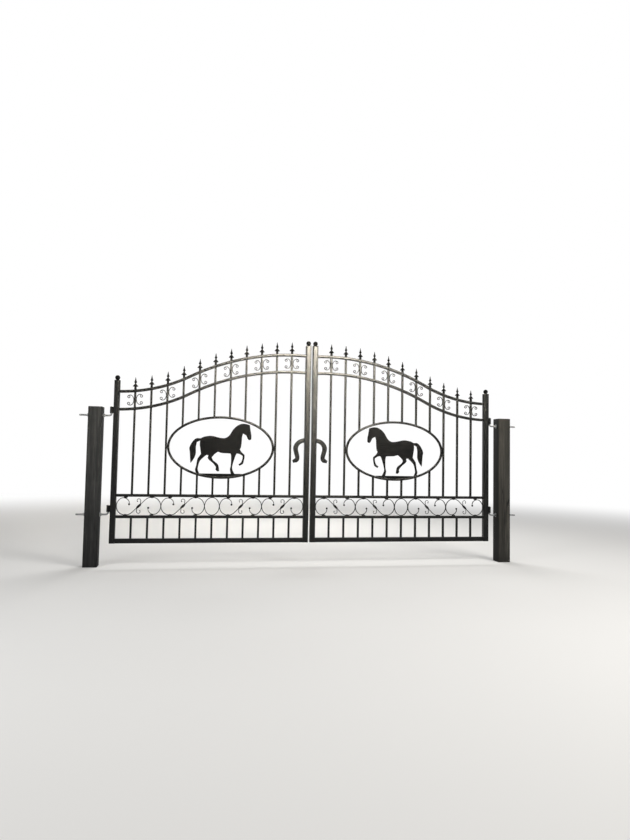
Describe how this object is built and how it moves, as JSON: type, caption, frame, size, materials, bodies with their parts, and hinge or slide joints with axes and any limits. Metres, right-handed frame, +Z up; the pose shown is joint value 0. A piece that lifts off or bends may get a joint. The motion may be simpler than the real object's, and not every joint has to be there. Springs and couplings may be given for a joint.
{
  "type": "double swing driveway gate",
  "caption": "Double swing gate with arched tops, spear finials, scrollwork and a horse in an oval on each leaf, hung on pins between square timber posts.",
  "frame": {"origin": "centre of the left post's foot, at ground level", "axes": "+X along the closed gate to the right post, +Y to the back, +Z up"},
  "size_m": [4.274, 0.125, 2.1485],
  "materials": {
    "gate_paint": "semi-gloss black paint",
    "cast_fittings": "satin black paint",
    "hinge_zinc": "weathered galvanising",
    "post_timber": "weathered dark stain"
  },
  "bodies": {
    "posts": {"left_post": "post_timber", "left_upper_hinge_bolt": "hinge_zinc", "left_lower_hinge_bolt": "hinge_zinc", "right_post": "post_timber", "right_upper_hinge_bolt": "hinge_zinc", "right_lower_hinge_bolt": "hinge_zinc"},
    "left_leaf": {"left_hinge_stile": "gate_paint", "left_meeting_stile": "gate_paint", "left_hinge_stile_ball": "cast_fittings", "left_meeting_stile_ball": "cast_fittings", "left_upper_arch_rail": "gate_paint", "left_lower_arch_rail": "gate_paint", "left_mid_rail": "gate_paint", "left_foot_panel": "gate_paint", "left_scroll_band": "gate_paint", "left_oval_ring": "gate_paint", "left_horse_plate": "cast_fittings", "left_horseshoe_half": "cast_fittings", "left_upper_hinge_lug": "gate_paint", "left_lower_hinge_lug": "gate_paint", "left_picket_01": "gate_paint", "left_picket_02": "gate_paint", "left_picket_03": "gate_paint", "left_picket_04": "gate_paint", "left_picket_05": "gate_paint", "left_picket_06": "gate_paint", "left_picket_07": "gate_paint", "left_picket_08": "gate_paint", "left_picket_09": "gate_paint", "left_picket_10": "gate_paint", "left_picket_11": "gate_paint"},
    "right_leaf": {"right_hinge_stile": "gate_paint", "right_meeting_stile": "gate_paint", "right_hinge_stile_ball": "cast_fittings", "right_meeting_stile_ball": "cast_fittings", "right_upper_arch_rail": "gate_paint", "right_lower_arch_rail": "gate_paint", "right_mid_rail": "gate_paint", "right_foot_panel": "gate_paint", "right_scroll_band": "gate_paint", "right_oval_ring": "gate_paint", "right_horse_plate": "cast_fittings", "right_horseshoe_half": "cast_fittings", "right_upper_hinge_lug": "gate_paint", "right_lower_hinge_lug": "gate_paint", "right_picket_01": "gate_paint", "right_picket_02": "gate_paint", "right_picket_03": "gate_paint", "right_picket_04": "gate_paint", "right_picket_05": "gate_paint", "right_picket_06": "gate_paint", "right_picket_07": "gate_paint", "right_picket_08": "gate_paint", "right_picket_09": "gate_paint", "right_picket_10": "gate_paint", "right_picket_11": "gate_paint"}
  },
  "joints": [
    {"name": "left_leaf_swing", "type": "hinge", "parent": "posts", "child": "left_leaf", "pos_m": [0.1345, 0, 0.205], "axis": [0, 0, 1], "range_deg": [-90, 90]},
    {"name": "right_leaf_swing", "type": "hinge", "parent": "posts", "child": "right_leaf", "pos_m": [3.8485, 0, 0.205], "axis": [0, 0, 1], "range_deg": [-90, 90]}
  ]
}
